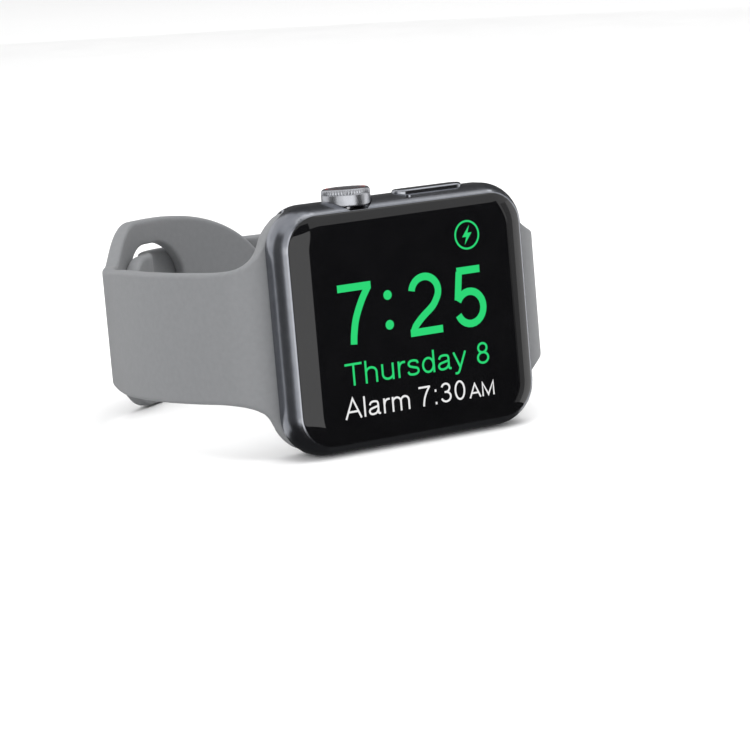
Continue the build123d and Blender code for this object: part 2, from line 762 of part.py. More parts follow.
def main():
    os.makedirs("parts", exist_ok=True)
    made = nodes()
    lean = lean_angle(made["case_shell"], made["strap_short"])
    leaned = {}
    for name, piece in made.items():
        shape = Compound(children=[*piece]) if isinstance(piece, list) else piece
        leaned[name] = Rot(X=-lean) * shape
    box = Compound(children=[shape.moved(Location()) for shape in leaned.values()]).bounding_box()
    shift = Pos(-box.center().X, -box.center().Y, -box.min.Z)
    for name, shape in leaned.items():
        export_step(shift * shape, f"parts/{name}.step")
    print("lean", round(lean, 3), "shift", shift.position, "size", box.size)
    return leaned, shift, lean


if __name__ == "__main__":
    main()
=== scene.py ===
import json
import math

import bmesh
import bpy
from mathutils import Matrix, Vector


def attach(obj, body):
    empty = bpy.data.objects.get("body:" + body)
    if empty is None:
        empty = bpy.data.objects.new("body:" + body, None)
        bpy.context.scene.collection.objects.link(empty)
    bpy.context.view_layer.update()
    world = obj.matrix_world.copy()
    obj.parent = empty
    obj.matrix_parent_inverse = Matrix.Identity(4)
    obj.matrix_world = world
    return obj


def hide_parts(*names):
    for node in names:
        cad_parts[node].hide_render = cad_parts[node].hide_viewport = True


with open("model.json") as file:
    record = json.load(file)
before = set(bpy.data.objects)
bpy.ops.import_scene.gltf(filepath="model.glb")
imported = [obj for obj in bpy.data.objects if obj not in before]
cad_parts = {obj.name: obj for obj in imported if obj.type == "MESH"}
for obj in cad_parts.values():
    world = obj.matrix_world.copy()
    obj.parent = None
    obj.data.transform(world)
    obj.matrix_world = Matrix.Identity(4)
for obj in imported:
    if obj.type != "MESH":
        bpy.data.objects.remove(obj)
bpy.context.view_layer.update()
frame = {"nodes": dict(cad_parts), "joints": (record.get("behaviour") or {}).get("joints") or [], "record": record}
record = frame["record"]
nodes = frame["nodes"]
MM = 0.001

# ---- the watch's own axes ------------------------------------------------------------------------
# X runs along the strap, Y from the glass towards the wrist, Z up to the crown. Y = 0 is the case's
# widest plane. The watch leans back in the row frame; the display's mount and the band's slide say how.

FRONT_EDGE_R = 4.2
display = next(m for m in record["mounts"] if m["name"] == "display_face")
slide = next(j for j in frame["joints"] if j["name"] == "band_short_slide")
Y_AXIS = -Vector(display["axis"]).normalized()
Z_AXIS = Vector(slide["axis"]).normalized()
X_AXIS = Y_AXIS.cross(Z_AXIS)
ORIGIN = Vector(display["pos_m"]) + Y_AXIS * (FRONT_EDGE_R * MM)
WATCH = Matrix.Translation(ORIGIN) @ Matrix((X_AXIS, Y_AXIS, Z_AXIS)).transposed().to_4x4()


def place(x, y, z):
    """A point in the watch's axes, in millimetres, as a point in the row frame."""
    return WATCH @ (Vector((x, y, z)) * MM)


# ---- materials -----------------------------------------------------------------------------------

NOISE_LOW, NOISE_HIGH = 0.3, 0.7          # nearly all of a noise's values lie between these
EDGE_FROM, EDGE_FULL = 0.52, 0.62         # pointiness where the painted edge highlight begins, and where it is complete
PATCH_GRAINS = 12                         # grains across one patch of colour
CELLS_PER_METRE, CELL_SHADE = 9000, 0.96  # the display's cells, and how bright the dimmest are
UNLIT_SHARE = 0.02                        # how much of a lit colour outside light brings up


def nodes_of(material):
    """The material's node tree and its shader."""
    material.use_nodes = True
    tree = material.node_tree
    return tree, tree.nodes["Principled BSDF"]


def noise(tree, scale, detail=3.0, roughness=0.55, stretch=None):
    """Noise in the object's own metres; scale is features per metre."""
    where = tree.nodes.new("ShaderNodeTexCoord")
    mapping = tree.nodes.new("ShaderNodeMapping")
    mapping.inputs["Scale"].default_value = stretch or (1, 1, 1)
    texture = tree.nodes.new("ShaderNodeTexNoise")
    texture.inputs["Scale"].default_value = scale
    texture.inputs["Detail"].default_value = detail
    texture.inputs["Roughness"].default_value = roughness
    tree.links.new(where.outputs["Object"], mapping.inputs["Vector"])
    tree.links.new(mapping.outputs["Vector"], texture.inputs["Vector"])
    return texture.outputs["Fac"]


def ramp(tree, value, low, high):
    """Noise turned into a colour between low and high."""
    node = tree.nodes.new("ShaderNodeValToRGB")
    node.color_ramp.elements[0].position = NOISE_LOW
    node.color_ramp.elements[1].position = NOISE_HIGH
    node.color_ramp.elements[0].color = (*low, 1)
    node.color_ramp.elements[1].color = (*high, 1)
    tree.links.new(value, node.inputs["Fac"])
    return node.outputs["Color"]


def between(tree, value, low, high):
    """Noise turned into a number between low and high."""
    node = tree.nodes.new("ShaderNodeMapRange")
    node.inputs["From Min"].default_value = NOISE_LOW
    node.inputs["From Max"].default_value = NOISE_HIGH
    node.inputs["To Min"].default_value = low
    node.inputs["To Max"].default_value = high
    tree.links.new(value, node.inputs["Value"])
    return node.outputs["Result"]


def bump(tree, shader, value, depth_mm, strength):
    """Relief on a shader's surface."""
    node = tree.nodes.new("ShaderNodeBump")
    node.inputs["Strength"].default_value = strength
    node.inputs["Distance"].default_value = depth_mm * MM
    tree.links.new(value, node.inputs["Height"])
    tree.links.new(node.outputs["Normal"], shader.inputs["Normal"])


def painted_edge_highlight(tree, colour, worn, amount):
    """Painted highlight: convex edges a little lighter in colour, from the mesh's own pointiness."""
    geometry = tree.nodes.new("ShaderNodeNewGeometry")
    mask = tree.nodes.new("ShaderNodeMapRange")
    mask.inputs["From Min"].default_value = EDGE_FROM
    mask.inputs["From Max"].default_value = EDGE_FULL
    mask.inputs["To Max"].default_value = amount
    mix = tree.nodes.new("ShaderNodeMix")
    mix.data_type = "RGBA"
    mix.inputs["B"].default_value = (*worn, 1)
    tree.links.new(geometry.outputs["Pointiness"], mask.inputs["Value"])
    tree.links.new(mask.outputs["Result"], mix.inputs["Factor"])
    tree.links.new(colour, mix.inputs["A"])
    return mix.outputs["Result"]


def surface(name, low, high, grain, rough, metallic=0.0, depth=0.004, bump_strength=0.3, stretch=None,
            worn=None, wear=0.0, **sockets):
    """A finish with colour variation, roughness variation and bump. grain is features per metre."""
    material = bpy.data.materials.new(name)
    tree, shader = nodes_of(material)
    fine = noise(tree, grain, 4.0, 0.6, stretch)
    broad = noise(tree, grain / PATCH_GRAINS, 2.0, 0.5)
    colour = ramp(tree, broad, low, high)
    # painted highlight: convex edges turn lighter, standing in for edge glints
    if worn:
        colour = painted_edge_highlight(tree, colour, worn, wear)
    tree.links.new(colour, shader.inputs["Base Color"])
    tree.links.new(between(tree, fine, *rough), shader.inputs["Roughness"])
    bump(tree, shader, fine, depth, bump_strength)
    shader.inputs["Metallic"].default_value = metallic
    for socket, value in sockets.items():
        shader.inputs[socket.replace("_", " ")].default_value = value
    return material


def glowing(name, colour, strength):
    """A lit part of the display: an even glow with faint cell structure."""
    material = bpy.data.materials.new(name)
    tree, shader = nodes_of(material)
    shader.inputs["Base Color"].default_value = (*[c * UNLIT_SHARE for c in colour], 1)
    shader.inputs["Roughness"].default_value = 0.15
    cells = noise(tree, CELLS_PER_METRE, 1.0)
    tint = ramp(tree, cells, [c * CELL_SHADE for c in colour], colour)
    tree.links.new(tint, shader.inputs["Emission Color"])
    shader.inputs["Emission Strength"].default_value = strength
    return material


def make_materials():
    """The finish of every material slot."""
    # painted highlight on the convex edges of the case and the side button
    painted_edge_glint = dict(worn=(0.5, 0.51, 0.54), wear=0.5)
    return {
        "case_metal": surface("case_metal", (0.235, 0.245, 0.275), (0.275, 0.285, 0.315), 9000, (0.2, 0.27),
                              1.0, 0.0015, 0.15, **painted_edge_glint),
        "crown_metal": surface("crown_metal", (0.42, 0.43, 0.46), (0.5, 0.51, 0.54), 9000, (0.26, 0.32),
                               1.0, 0.001, 0.1, stretch=(1, 1, 0.1)),
        "button_metal": surface("button_metal", (0.3, 0.31, 0.34), (0.35, 0.36, 0.39), 9000, (0.12, 0.2),
                                1.0, 0.001, 0.1, **painted_edge_glint),
        "stud_metal": surface("stud_metal", (0.4, 0.41, 0.43), (0.47, 0.48, 0.5), 7000, (0.14, 0.22),
                              1.0, 0.001, 0.1),
        "cover_glass": surface("cover_glass", (0.0025, 0.0025, 0.003), (0.0035, 0.0035, 0.004), 3000,
                               (0.02, 0.035), 0.0, 0.0003, 0.05, IOR=1.5, Specular_IOR_Level=0.5),
        "strap_rubber": surface("strap_rubber", (0.158, 0.162, 0.168), (0.169, 0.173, 0.179), 16000,
                                (0.5, 0.6), 0.0, 0.006, 0.35, Sheen_Weight=0.08, Sheen_Roughness=0.5,
                                Specular_IOR_Level=0.35),
        "back_composite": surface("back_composite", (0.02, 0.02, 0.022), (0.03, 0.03, 0.032), 4000,
                                  (0.08, 0.14), 0.0, 0.0005, 0.1, Coat_Weight=0.6, Coat_Roughness=0.05),
        "back_glass": surface("back_glass", (0.012, 0.012, 0.014), (0.02, 0.02, 0.022), 3000,
                              (0.03, 0.05), 0.0, 0.0003, 0.05, Coat_Weight=1.0, Coat_Roughness=0.03),
        "seal_rubber": surface("seal_rubber", (0.006, 0.006, 0.006), (0.012, 0.012, 0.012), 9000, (0.6, 0.8)),
        "display": surface("display", (0.003, 0.003, 0.004), (0.006, 0.006, 0.007), 6000, (0.1, 0.15)),
        "sensor_glass": surface("sensor_glass", (0.004, 0.02, 0.012), (0.01, 0.05, 0.03), 2500, (0.05, 0.1),
                                Coat_Weight=0.8),
        "circuit_board": surface("circuit_board", (0.008, 0.06, 0.03), (0.02, 0.1, 0.05), 5000, (0.35, 0.5)),
        "flex_circuit": surface("flex_circuit", (0.3, 0.13, 0.03), (0.4, 0.2, 0.05), 5000, (0.3, 0.45)),
        "copper": surface("copper", (0.6, 0.27, 0.13), (0.72, 0.36, 0.2), 12000, (0.25, 0.4), 1.0,
                          0.02, 0.6, stretch=(1, 6, 1)),
        "magnet_steel": surface("magnet_steel", (0.5, 0.5, 0.52), (0.6, 0.6, 0.62), 6000, (0.2, 0.3), 1.0),
        "battery_wrap": surface("battery_wrap", (0.03, 0.03, 0.034), (0.05, 0.05, 0.055), 3000, (0.35, 0.5),
                                depth=0.02),
        "chip_black": surface("chip_black", (0.012, 0.012, 0.012), (0.022, 0.022, 0.022), 14000, (0.45, 0.6)),
        "steel": surface("steel", (0.5, 0.5, 0.52), (0.6, 0.6, 0.62), 8000, (0.22, 0.38), 1.0,
                         stretch=(0.1, 1, 1)),
        "speaker_body": surface("speaker_body", (0.02, 0.02, 0.02), (0.035, 0.035, 0.035), 9000, (0.5, 0.65)),
        "bushing_bronze": surface("bushing_bronze", (0.42, 0.26, 0.08), (0.5, 0.32, 0.12), 12000,
                                  (0.3, 0.45), 1.0, 0.01, 0.5),
        "crown_red": surface("crown_red", (0.4, 0.02, 0.015), (0.5, 0.03, 0.02), 8000, (0.2, 0.3),
                             Coat_Weight=0.5),
    }


MATERIALS = make_materials()


def finish_cad_nodes():
    """Every carried-over CAD node takes the finish of its material slot."""
    for part in record["subparts"]:
        mesh = nodes[part["node"]].data
        mesh.materials.clear()
        mesh.materials.append(MATERIALS[part["material_slot"]])


# ---- mesh helpers --------------------------------------------------------------------------------

SHARP = math.radians(38)                  # edges with a larger turn stay sharp


def new_piece(name, vertices, faces, material, body=None):
    """A smooth-shaded mesh from points in the row frame."""
    mesh = bpy.data.meshes.new(name)
    mesh.from_pydata([tuple(v) for v in vertices], [], faces)
    work = bmesh.new()
    work.from_mesh(mesh)
    bmesh.ops.recalc_face_normals(work, faces=work.faces)
    if work.calc_volume(signed=True) < 0:
        bmesh.ops.reverse_faces(work, faces=work.faces)
    work.to_mesh(mesh)
    work.free()
    mesh.shade_smooth()
    mesh.set_sharp_from_angle(angle=SHARP)
    piece = bpy.data.objects.new(name, mesh)
    bpy.context.scene.collection.objects.link(piece)
    mesh.materials.append(material)
    if body:
        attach(piece, body)
    return piece


def tube_faces(rings, count):
    """Quads between rings of count points, numbered ring by ring, with an n-gon at each end."""
    faces = []
    for ring in range(rings - 1):
        for i in range(count):
            j = (i + 1) % count
            a, b = ring * count, (ring + 1) * count
            faces.append((a + i, a + j, b + j, b + i))
    faces.append(tuple(range(count)))
    faces.append(tuple(range((rings - 1) * count, rings * count)))
    return faces


def cut(piece, cutters):
    """Takes the cutters away from the piece for good."""
    for cutter in cutters:
        modifier = piece.modifiers.new("cut", "BOOLEAN")
        modifier.operation = "DIFFERENCE"
        modifier.solver = "EXACT"
        modifier.object = cutter
    apply_modifiers(piece)
    for cutter in cutters:
        bpy.data.objects.remove(cutter)


def apply_modifiers(piece):
    """The piece's mesh as its modifiers make it."""
    bpy.context.view_layer.update()
    seen = piece.evaluated_get(bpy.context.evaluated_depsgraph_get())
    mesh = bpy.data.meshes.new_from_object(seen)
    piece.modifiers.clear()
    piece.data = mesh


# ---- the strap's path: tangent arcs in the watch's XY plane --------------------------------------

STRAP_T = 2.2
STRAP_HALF = 9.55
STRAP_GAP = 0.15
LUG_X, LUG_Y, CASE_END = 18.5, 2.0, 21.25
BAR_R = 1.33
BAR_END = 0.74            # how far along the strap its round bar meets the even thickness
# Each arc is a radius and a turn in degrees. The short strap's come in order from the case.
ROOT_ARC = (5.2, 63.0)
SIDE_ARC = (43.0, 37.0)
BEND_ARC = (31.0, 57.0)
END_ARC = (34.0, 40.0)
LONG_SIDE_ARC = (62.0, 27.0)
DIP_R, DIP_START_X = 9.0, -8.8
TAIL_TURN = 14.0
TAIL_HALF = 9.35
STUD_X = 4.0
SLOT_X, SLOT_ALONG, SLOT_ACROSS, SLOT_R = -14.0, 15.6, 21.6, 6.5
HOLE_R, HOLE_PITCH = 1.56, 7.0
HOLES = range(-2, 5)      # the stud is in hole 0
HALVINGS = 40


def left_of(heading):
    """The direction a quarter turn left of a heading."""
    return Vector((-math.sin(heading), math.cos(heading)))


def advance(point, heading, radius, turn, fraction):
    """Where a leg has got to after that fraction of it. A turn of 0 is a straight run."""
    if turn == 0:
        return point + Vector((math.cos(heading), math.sin(heading))) * (radius * fraction), heading
    side = math.copysign(1.0, turn)
    centre = point + left_of(heading) * (side * radius)
    turned = heading + math.radians(turn) * fraction
    return centre - left_of(turned) * (side * radius), turned


def leg_length(leg):
    _, _, radius, turn = leg
    return radius if turn == 0 else radius * math.radians(abs(turn))


def walk(start, heading, legs):
    """The legs with their starting points and headings, then the point and heading at the end."""
    point, heading, out = Vector(start), math.radians(heading), []
    for radius, turn in legs:
        out.append((point, heading, radius, turn))
        point, heading = advance(point, heading, radius, turn, 1.0)
    return out, point, heading


def at(path, s):
    """The point and heading at length s along a path; before its start it runs straight back."""
    for leg in path:
        length = leg_length(leg)
        if s <= length or leg is path[-1]:
            return advance(*leg, s / length)
        s -= length


def length_at_x(path, leg_number, x):
    """The length along a path where one of its arcs crosses X = x on the wrist's side."""
    before = sum(leg_length(leg) for leg in path[:leg_number])
    low, high = 0.0, 1.0
    rising = advance(*path[leg_number], 1.0)[0].x > advance(*path[leg_number], 0.0)[0].x
    for _ in range(HALVINGS):
        middle = (low + high) / 2
        if (advance(*path[leg_number], middle)[0].x < x) == rising:
            low = middle
        else:
            high = middle
    return before + low * leg_length(path[leg_number])


def turn_between(a, b, centre):
    """Degrees from a to b round a centre, anticlockwise."""
    start = math.atan2(a.y - centre.y, a.x - centre.x)
    end = math.atan2(b.y - centre.y, b.x - centre.x)
    return math.degrees((end - start) % (2 * math.pi))


def circles_meet(c1, r1, c2, r2):
    """The two points where two circles cross."""
    gap = c2 - c1
    along = (r1 * r1 - r2 * r2 + gap.length_squared) / (2 * gap.length)
    unit = gap.normalized()
    across = Vector((-unit.y, unit.x)) * math.sqrt(r1 * r1 - along * along)
    return c1 + unit * along + across, c1 + unit * along - across


def short_path():
    """From the case's channel outwards, then round behind the wrist."""
    arcs = [ROOT_ARC, SIDE_ARC, BEND_ARC, END_ARC]
    legs = [(CASE_END - LUG_X, 0)] + [(radius, -turn) for radius, turn in arcs]
    return walk((-LUG_X, LUG_Y), 180, legs)[0]


SHORT = short_path()
BEND_CENTRE = SHORT[3][0] - left_of(SHORT[3][1]) * BEND_ARC[0]
END_CENTRE = SHORT[4][0] - left_of(SHORT[4][1]) * END_ARC[0]


def long_path():
    """Outside the short strap, then down through its slot and along its inside."""
    lift = STRAP_T + STRAP_GAP
    outer, inner = END_ARC[0] + lift, BEND_ARC[0] - lift
    legs = [(CASE_END - LUG_X, 0), ROOT_ARC, LONG_SIDE_ARC]
    _, point, heading = walk((LUG_X, LUG_Y), 0, legs)
    inward = left_of(heading)
    away = point - END_CENTRE
    bend = (outer ** 2 - away.dot(away)) / (2 * (away.dot(inward) + outer))
    bend_centre = point + inward * bend
    meet = END_CENTRE + (bend_centre - END_CENTRE).normalized() * outer
    legs.append((bend, turn_between(point, meet, bend_centre)))
    dip = Vector((DIP_START_X, END_CENTRE.y + math.sqrt(outer ** 2 - (DIP_START_X - END_CENTRE.x) ** 2)))
    legs.append((outer, turn_between(meet, dip, END_CENTRE)))
    first = END_CENTRE + (dip - END_CENTRE).normalized() * (outer - DIP_R)
    second = min(circles_meet(first, 2 * DIP_R, BEND_CENTRE, inner + DIP_R), key=lambda c: c.x)
    crossing = (first + second) / 2
    landing = BEND_CENTRE + (second - BEND_CENTRE).normalized() * inner
    legs.append((DIP_R, turn_between(dip, crossing, first)))
    legs.append((DIP_R, -turn_between(landing, crossing, second)))
    legs.append((inner, TAIL_TURN))
    return walk((LUG_X, LUG_Y), 0, legs)[0]


LONG = long_path()


def total(path):
    return sum(leg_length(leg) for leg in path)


# ---- strap widths --------------------------------------------------------------------------------

FLARE_CENTRE = (15.1, 10.8)
FLARE_R, FLARE_FILLET = 6.8, 6.5
FILLET_Z = STRAP_HALF + FLARE_FILLET
FILLET_X = FLARE_CENTRE[0] + math.sqrt((FLARE_R + FLARE_FILLET) ** 2 - (FILLET_Z - FLARE_CENTRE[1]) ** 2)
TOUCH_X = FLARE_CENTRE[0] + (FILLET_X - FLARE_CENTRE[0]) * FLARE_R / (FLARE_R + FLARE_FILLET)
ROOT_END_Y = 20.0         # the flare is nearer to the case than this
WAIST_Y = (28.0, 38.0)
WAIST = 9.0
SPREAD_Y = (43.6, 51.9)
WIDEST = 14.7
SHORT_TIP_X = 10.0
END_POWER = 2.7           # a full, round end: 2 would be an ellipse
NARROWING = 45            # length over which the long strap narrows to its tail
SHORT_TIP, TAIL_TIP = 7.0, TAIL_HALF * 0.75
THINNEST = 0.02


def root_half(x):
    """Half the strap's width near the case, where it flares into the lug; x is from the middle."""
    if x < TOUCH_X:
        return FLARE_CENTRE[1] + math.sqrt(FLARE_R ** 2 - (x - FLARE_CENTRE[0]) ** 2)
    if x < FILLET_X:
        return FILLET_Z - math.sqrt(max(FLARE_FILLET ** 2 - (FILLET_X - x) ** 2, 0))
    return STRAP_HALF


def share(value, limits):
    """How far a value has got from the first limit to the second, starting and ending gently."""
    low, high = limits
    t = min(max((value - low) / (high - low), 0.0), 1.0)
    return t * t * (3 - 2 * t)


def short_half(s):
    """Half the short strap's width: the flare, a slight waist, a quick widening and a round end."""
    point, _ = at(SHORT, s)
    if point.y < ROOT_END_Y:
        return root_half(-point.x)
    if point.x < SLOT_X:
        waist = (WAIST - STRAP_HALF) * share(point.y, WAIST_Y)
        return STRAP_HALF + waist + (WIDEST - WAIST) * share(point.y, SPREAD_Y)
    reach = (point.x - SLOT_X) / (SHORT_TIP_X - SLOT_X)
    return WIDEST * math.sqrt(max(1 - min(reach, 1) ** END_POWER, 0))


def long_half(s):
    """Half the long strap's width: the flare, a gentle narrowing and a round tail."""
    point, _ = at(LONG, s)
    if point.y < ROOT_END_Y:
        return root_half(point.x)
    bend_s = sum(leg_length(leg) for leg in LONG[:3])
    if s < bend_s:
        return STRAP_HALF
    half = STRAP_HALF + (TAIL_HALF - STRAP_HALF) * share(s, (bend_s, bend_s + NARROWING))
    past = s - (total(LONG) - TAIL_TIP)
    return half if past < 0 else half * math.sqrt(max(1 - (past / TAIL_TIP) ** 2, 0))


def half_thickness(s):
    """The bar in the case's channel is round; past it the strap is even."""
    if s < BAR_END:
        return math.sqrt(max(BAR_R ** 2 - s * s, THINNEST ** 2))
    return STRAP_T / 2


# ---- strap meshes --------------------------------------------------------------------------------

EDGE_R = 0.6
EDGE_MOST = 0.98          # an edge's radius is at most this share of what it rounds
ACROSS, ROUND = 30, 7     # points across a face, and steps round an edge
STEP = 0.42               # between two sections along the strap
BAR_STEPS, TIP_STEPS = 8, 22
BAR_GAP, TIP_GAP = 0.003, 0.002           # how far short of its point an end stops
NARROWEST = 0.03
RIM = 0.45                # a hole's rounded rim
PROUD, PROUD_SLOPE = 1.5, 4               # how far out a cutter keeps widening, and how fast
HOLE_RIM = 0.7            # a round hole's rim, as a share of the slot's
HOLE_POINTS, SLOT_STEPS = 40, 24


def section(half, thick):
    """The strap's outline across it: (across, out) pairs with rounded edges."""
    corner = min(EDGE_R, thick * EDGE_MOST, half * EDGE_MOST)
    points = []
    flat = half - corner
    for side in (1, -1):
        for i in range(ACROSS):
            z = side * (2 * flat * (i + 0.5) / ACROSS - flat)
            points.append((z, side * thick))
        for i in range(ROUND + 1):
            angle = math.radians(90 - 180 * i / ROUND)
            z = flat + corner * math.cos(angle)
            out = (thick - corner) * (1 if angle > 0 else -1) + corner * math.sin(angle)
            points.append((side * z, side * out))
    return points


def stops_along(length, start, tip):
    """Lengths along the strap, closer together over its round bar and its round tip."""
    stops = [start * math.cos(math.pi / 2 * i / BAR_STEPS) for i in range(BAR_STEPS)]
    count = int((length - tip) / STEP)
    stops += [(length - tip) * i / count for i in range(count)]
    stops += [length - tip + tip * math.sin(math.pi / 2 * i / TIP_STEPS) for i in range(TIP_STEPS)]
    return stops + [length - TIP_GAP]


def on_path(path, outside, s, z, out):
    """Row-frame point at length s, z across and out from the path's middle."""
    point, heading = at(path, s)
    spot = point + left_of(heading) * (outside * out)
    return place(spot.x, spot.y, z)


def strap(name, path, outside, half_at, tip, material):
    """A strap as sections along its path; outside is 1 where the path's left faces out, else -1."""
    points = []
    for s in stops_along(path_end(path), -BAR_R + BAR_GAP, tip):
        for z, out in section(max(half_at(s), NARROWEST), half_thickness(s)):
            points.append(on_path(path, outside, s, z, out))
    count = 2 * (ACROSS + ROUND + 1)
    return new_piece(name, points, tube_faces(len(points) // count, count), material)


def path_end(path):
    """The length at which a strap ends; the short one stops part of the way along its last arc."""
    return length_at_x(SHORT, 4, SHORT_TIP_X) if path is SHORT else total(LONG)


def rim_spread(out):
    """How much wider a hole is near the strap's faces, so that its rim is rounded."""
    depth = min(abs(out), PROUD) - (STRAP_T / 2 - RIM)
    if depth <= 0:
        return 0.0
    if depth >= RIM:
        return RIM + (depth - RIM) * PROUD_SLOPE
    return RIM - math.sqrt(RIM * RIM - depth * depth)


def cutter(path, outside, s, outline):
    """A hole cutter that follows the strap's curve; outline(spread) gives (along, across) pairs."""
    half_levels = [0.65, 0.78, 0.9, 1.0, 1.06, 1.1, 1.5, 4.0]
    levels = [-level for level in reversed(half_levels)] + [0] + half_levels
    points, count = [], 0
    for out in levels:
        ring = outline(rim_spread(out))
        count = len(ring)
        points += [on_path(path, outside, s + along, z, out) for along, z in ring]
    return new_piece("cutter", points, tube_faces(len(levels), count), MATERIALS["strap_rubber"])


def rounded_outline(half_x, half_z, corner, steps=12):
    """A rounded rectangle as points, anticlockwise from its right side."""
    points = []
    for quarter, (a, b) in enumerate(((1, 1), (-1, 1), (-1, -1), (1, -1))):
        for i in range(steps + 1):
            angle = math.radians(90 * quarter + 90 * i / steps)
            points.append((a * (half_x - corner) + corner * math.cos(angle),
                           b * (half_z - corner) + corner * math.sin(angle)))
    return points


def slot_outline(spread):
    """The slot in the short strap."""
    return rounded_outline(SLOT_ALONG / 2 + spread, SLOT_ACROSS / 2 + spread, SLOT_R + spread, SLOT_STEPS)


def hole_outline(spread):
    """A round hole in the long strap."""
    reach = HOLE_R + spread * HOLE_RIM
    angles = [math.tau * i / HOLE_POINTS for i in range(HOLE_POINTS)]
    return [(reach * math.cos(angle), reach * math.sin(angle)) for angle in angles]


def make_straps():
    """Both straps with their slot and holes cut; the stud sets where the long one's holes are."""
    slot_s = length_at_x(SHORT, 3, SLOT_X)
    stud_s = length_at_x(SHORT, 4, STUD_X)
    short = strap("strap_short_rubber", SHORT, 1, short_half, SHORT_TIP, MATERIALS["strap_rubber"])
    cut(short, [cutter(SHORT, 1, slot_s, slot_outline)])
    stud = at(SHORT, stud_s)[0] - END_CENTRE
    outer = END_ARC[0] + STRAP_T + STRAP_GAP
    stud_x = END_CENTRE.x + outer * stud.x / stud.length
    first = length_at_x(LONG, 4, stud_x)
    long = strap("strap_long_rubber", LONG, -1, long_half, TAIL_TIP, MATERIALS["strap_rubber"])
    cut(long, [cutter(LONG, -1, first - number * HOLE_PITCH, hole_outline) for number in HOLES])
    for piece, body, node in ((short, "band_short", "strap_short"), (long, "band_long", "strap_long")):
        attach(piece, body)
        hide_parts(node)


# ---- the cover glass -----------------------------------------------------------------------------

GLASS_BACK_Y = -3.22
GLASS_HALF = (19.74, 16.69)
GLASS_CORNER = 4.99
GLASS_CURVE_R = 7.86
GLASS_CURVE = math.radians(28.9)
GLASS_STEPS = 16
GLASS_LIP = 0.001         # keeps the rim's two rings apart
GLASS_FLAT = 0.05         # the first of the flat middle, so that its shading is level


def make_cover_glass():
    """Flat in the middle and rolling off softly to the metal all the way round."""
    profile = [(0.0, GLASS_BACK_Y)]
    for i in range(GLASS_STEPS + 1):
        angle = GLASS_CURVE * (1 - i / GLASS_STEPS)
        inset = GLASS_CURVE_R * (math.sin(GLASS_CURVE) - math.sin(angle))
        profile.append((inset + GLASS_LIP, -FRONT_EDGE_R + GLASS_CURVE_R * (1 - math.cos(angle))))
    profile.append((profile[-1][0] + GLASS_FLAT, -FRONT_EDGE_R))
    points, count = [], 0
    for inset, y in profile:
        outline = rounded_outline(GLASS_HALF[0] - inset, GLASS_HALF[1] - inset, GLASS_CORNER - inset)
        count = len(outline)
        points += [place(x, y, z) for x, z in outline]
    faces = tube_faces(len(profile), count)
    glass = new_piece("glass_cover", points, faces, MATERIALS["cover_glass"], "case")
    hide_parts("cover_glass")


# ---- the crown -----------------------------------------------------------------------------------

CROWN_X, CROWN_Y = -7.5, 0.3
CROWN_TEETH, TOOTH_POINTS = 52, 6
CROWN_PROFILE = [         # radius, height and tooth depth, from the recess up and over to the middle
    (3.3, 17.25, 0), (3.44, 17.28, 0), (3.52, 17.36, 0), (3.56, 17.48, 0), (3.575, 17.7, 0), (3.575, 18.9, 0),
    (3.55, 18.98, 0), (3.5, 19.02, 0), (3.575, 19.06, 0.09), (3.59, 19.2, 0.11), (3.575, 19.4, 0.11),
    (3.52, 19.56, 0.08), (3.44, 19.68, 0.03), (3.34, 19.78, 0), (3.2, 19.86, 0), (3.02, 19.9, 0),
    (2.96, 19.89, 0), (2.95, 19.84, 0), (2.95, 19.65, 0), (2.65, 19.65, 0), (2.65, 19.84, 0),
    (2.63, 19.88, 0), (2.57, 19.9, 0),
]


def make_crown():
    """A polished barrel with a fine knurl round its top edge and a shallow groove for the red ring."""
    points = []
    count = CROWN_TEETH * TOOTH_POINTS
    for radius, height, depth in CROWN_PROFILE:
        for i in range(count):
            angle = math.tau * i / count
            reach = radius - depth * (0.5 - 0.5 * math.cos(CROWN_TEETH * angle))
            points.append(place(CROWN_X + reach * math.cos(angle), CROWN_Y + reach * math.sin(angle), height))
    faces = tube_faces(len(CROWN_PROFILE), count)
    crown = new_piece("crown_barrel", points, faces, MATERIALS["crown_metal"], "crown")
    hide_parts("crown_cap")


# ---- the display's picture: plain stroke lettering -----------------------------------------------

PICTURE_Y = -FRONT_EDGE_R - 0.012
PICTURE_BACK_Y = -FRONT_EDGE_R + 0.01
X_HEIGHT = 0.675          # middle of a small letter's top stroke; capitals are 1 high
THICK = 0.06              # half a stroke, where a shape has to allow for it
MITRE_LOWEST, MITRE_LONGEST = 0.3, 2.2    # keep a sharp corner from running out to a spike
LAYER = 0.0008            # between strokes that cross, so that their faces don't coincide


def oval(centre, radii, start, end, count=22):
    """Part of an ellipse, from one angle to another in degrees."""
    angles = [math.radians(start + (end - start) * i / count) for i in range(count + 1)]
    return [(centre[0] + radii[0] * math.cos(a), centre[1] + radii[1] * math.sin(a)) for a in angles]


def flow(points, steps=7):
    """A smooth line through the points."""
    padded = [points[0]] + points + [points[-1]]
    out = []
    for a, b, c, d in zip(padded, padded[1:], padded[2:], padded[3:]):
        for i in range(steps):
            t = i / steps
            out.append(tuple(
                0.5 * (2 * b[k] + (c[k] - a[k]) * t + (2 * a[k] - 5 * b[k] + 4 * c[k] - d[k]) * t * t
                       + (3 * b[k] - a[k] - 3 * c[k] + d[k]) * t ** 3) for k in (0, 1)))
    return out + [points[-1]]


def arch(left, right, top=X_HEIGHT, high=0.22):
    """A stem's shoulder: up from the left, over, and down to the baseline on the right."""
    middle, reach = (left + right) / 2, (right - left) / 2
    return oval((middle, top - high), (reach, high), 180, 0) + [(right, 0)]


